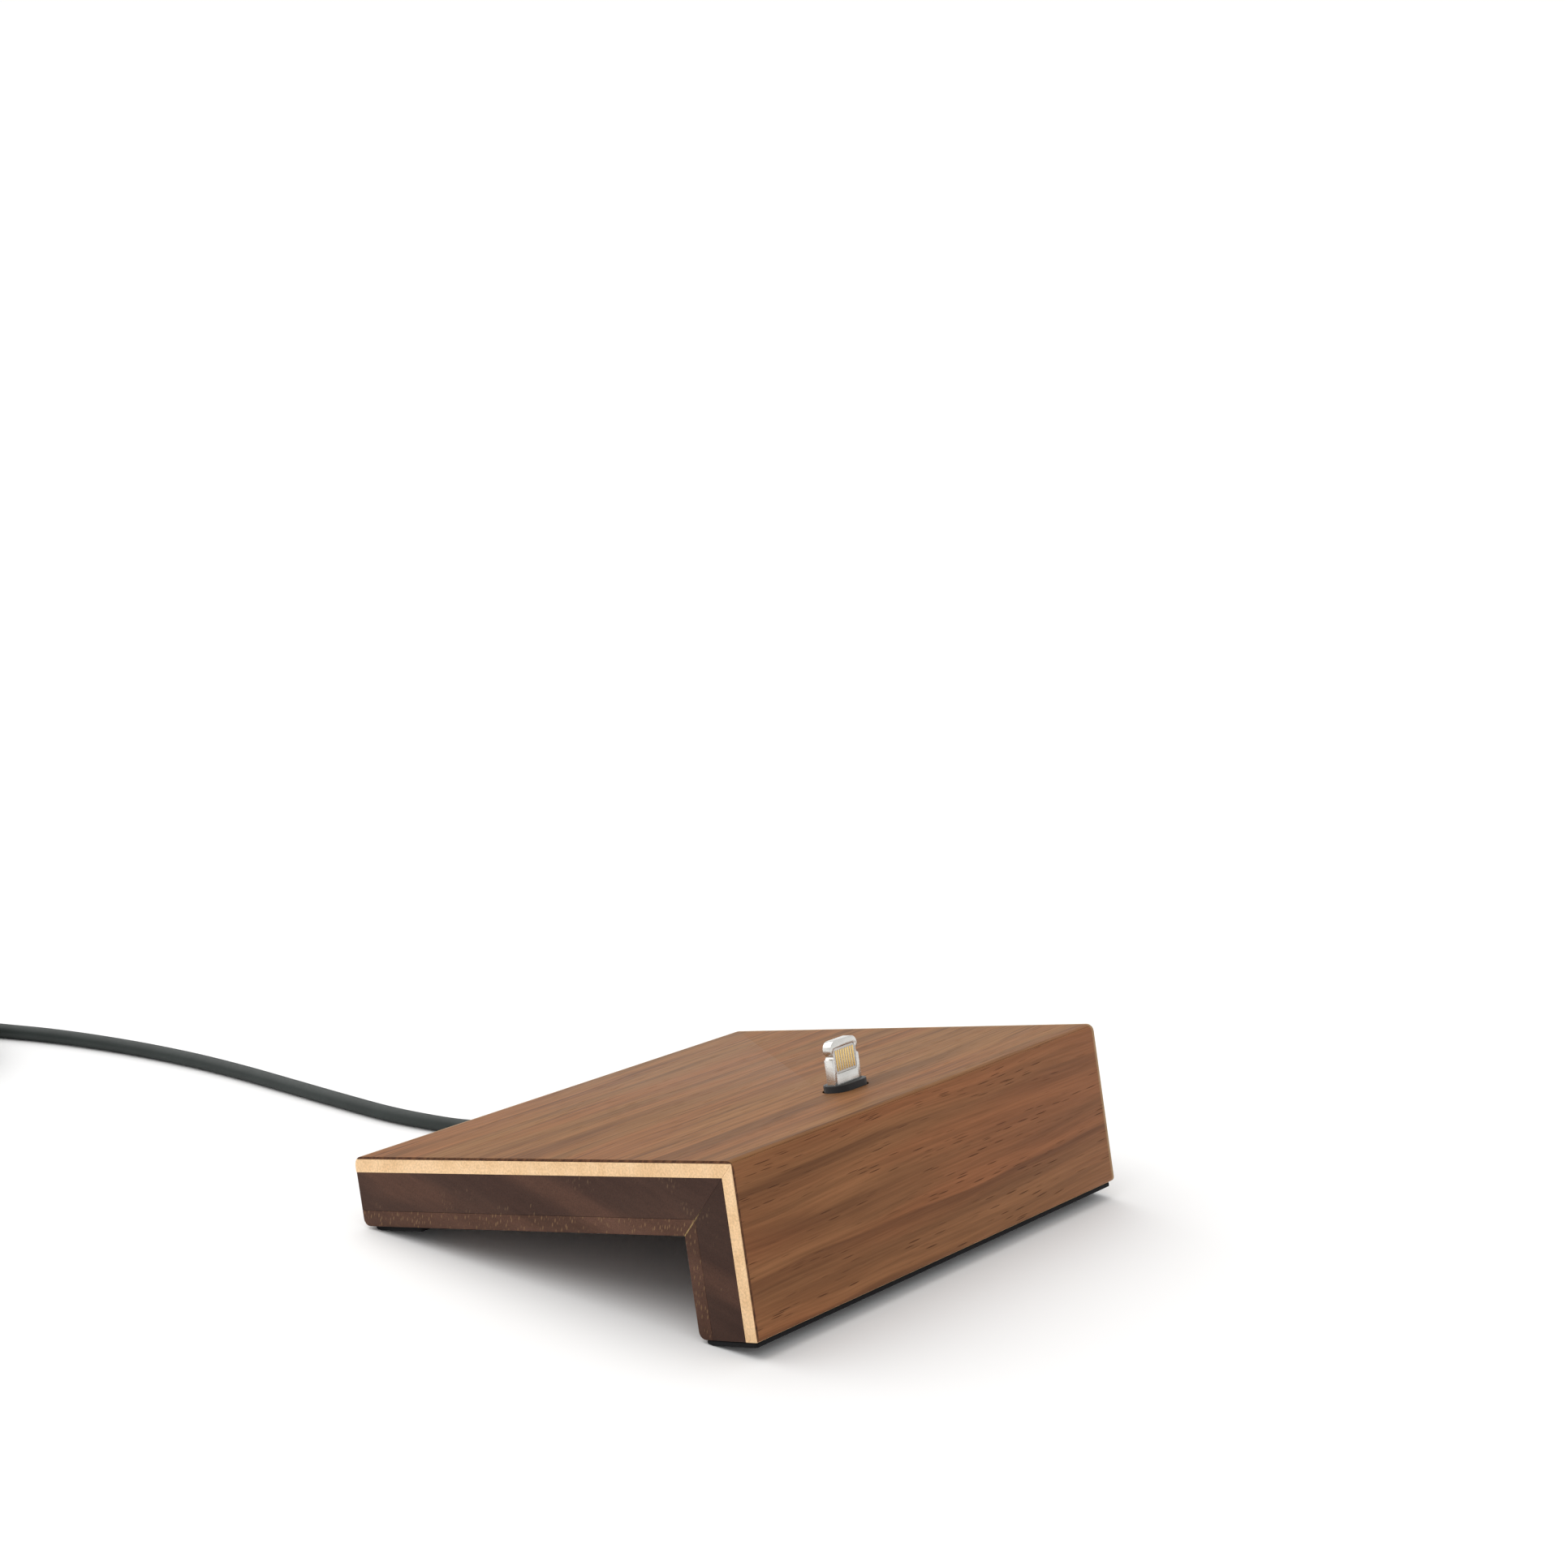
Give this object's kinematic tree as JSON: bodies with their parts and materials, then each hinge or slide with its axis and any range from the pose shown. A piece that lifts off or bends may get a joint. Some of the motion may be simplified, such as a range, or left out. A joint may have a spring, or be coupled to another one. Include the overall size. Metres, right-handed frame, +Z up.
{
  "type": "phone stand",
  "caption": "Low wooden stand: a laminated top board and mitred front board on rubber strips, with a charging plug standing in the top face and its cord led out behind.",
  "frame": {"origin": "on the surface that the stand rests on, under the middle of the stand's bounding box, measured without the free cord and what is on it", "axes": "+X to the right of a person facing the front board, +Y towards the back where the cord leaves, +Z up from the surface"},
  "size_m": [0.1546, 0.2207, 0.0323],
  "materials": {
    "walnut_face": "oiled walnut veneer, satin",
    "maple": "pale oiled maple edge grain",
    "walnut_core": "dark walnut end grain, oiled",
    "walnut_backing": "walnut end grain with open pores, oiled",
    "black_plastic": "fine moulded texture",
    "nickel": "satin nickel plating",
    "gold": "gold-plated contact",
    "contact_carrier": "smooth moulded plastic",
    "foot_rubber": "matt black rubber strip",
    "screw_steel": "dark zinc-plated screw",
    "cord_jacket": "dark grey-green soft cord jacket",
    "tie_strap": "black hook-and-loop strap"
  },
  "bodies": {
    "root": {"top_veneer": "walnut_face", "top_maple_ply": "maple", "top_core": "walnut_core", "top_backing": "walnut_backing", "front_veneer": "walnut_face", "front_maple_ply": "maple", "front_core": "walnut_core", "front_backing": "walnut_backing", "cover_plate": "black_plastic", "cover_screw_1": "screw_steel", "cover_screw_2": "screw_steel", "cover_screw_3": "screw_steel", "cover_screw_4": "screw_steel", "front_foot": "foot_rubber", "rear_foot": "foot_rubber", "plug_tongue": "nickel", "plug_carrier": "contact_carrier", "plug_contact_1": "gold", "plug_contact_2": "gold", "plug_contact_3": "gold", "plug_contact_4": "gold", "plug_contact_5": "gold", "plug_contact_6": "gold", "plug_contact_7": "gold", "plug_contact_8": "gold", "plug_housing": "black_plastic", "plug_strain_relief": "black_plastic", "cord": "cord_jacket", "cord_coil": "cord_jacket", "cord_tie": "tie_strap", "cord_far_lead": "cord_jacket", "far_strain_relief": "black_plastic", "far_housing": "black_plastic", "far_shell": "nickel", "far_carrier": "contact_carrier", "far_contact_1": "gold", "far_contact_2": "gold", "far_contact_3": "gold", "far_contact_4": "gold"}
  },
  "joints": []
}
